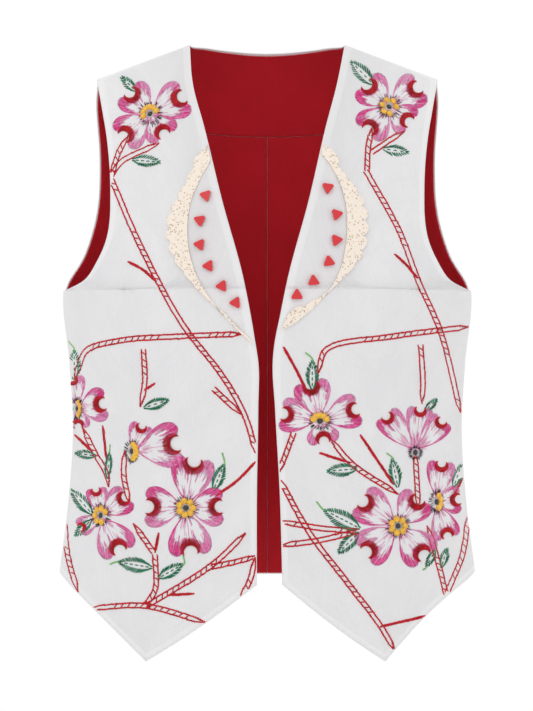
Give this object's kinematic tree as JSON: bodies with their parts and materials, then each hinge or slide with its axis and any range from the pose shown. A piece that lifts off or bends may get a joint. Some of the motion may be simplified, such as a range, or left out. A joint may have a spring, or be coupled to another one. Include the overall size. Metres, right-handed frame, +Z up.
{
  "type": "embroidered waistcoat",
  "caption": "Open-fronted sleeveless waistcoat, hollow as if worn, with pointed front hems, a red lining, lace crescents, triangular beads and floral embroidery.",
  "frame": {"origin": "on the centre plane, halfway between the undersides of the two shoulder seams at their neck ends, where the garment rests on its wearer", "axes": "+Z up, the waistcoat faces -Y, +X towards the wearer's left side"},
  "size_m": [0.3934, 0.2214, 0.5757],
  "materials": {
    "linen": "matte woven off-white linen",
    "lining": "matte deep red cotton lining",
    "lace": "cream cotton lace",
    "bead": "glossy red bead"
  },
  "bodies": {
    "root": {"front_left": "linen", "front_right": "linen", "back": "linen", "lining_front_left": "lining", "lining_front_right": "lining", "lining_yoke": "lining", "lining_back_left": "lining", "lining_back_right": "lining", "lace_left": "lace", "lace_right": "lace", "bead_left_1": "bead", "bead_left_2": "bead", "bead_left_3": "bead", "bead_left_4": "bead", "bead_left_5": "bead", "bead_left_6": "bead", "bead_right_1": "bead", "bead_right_2": "bead", "bead_right_3": "bead", "bead_right_4": "bead", "bead_right_5": "bead", "bead_right_6": "bead"}
  },
  "joints": []
}
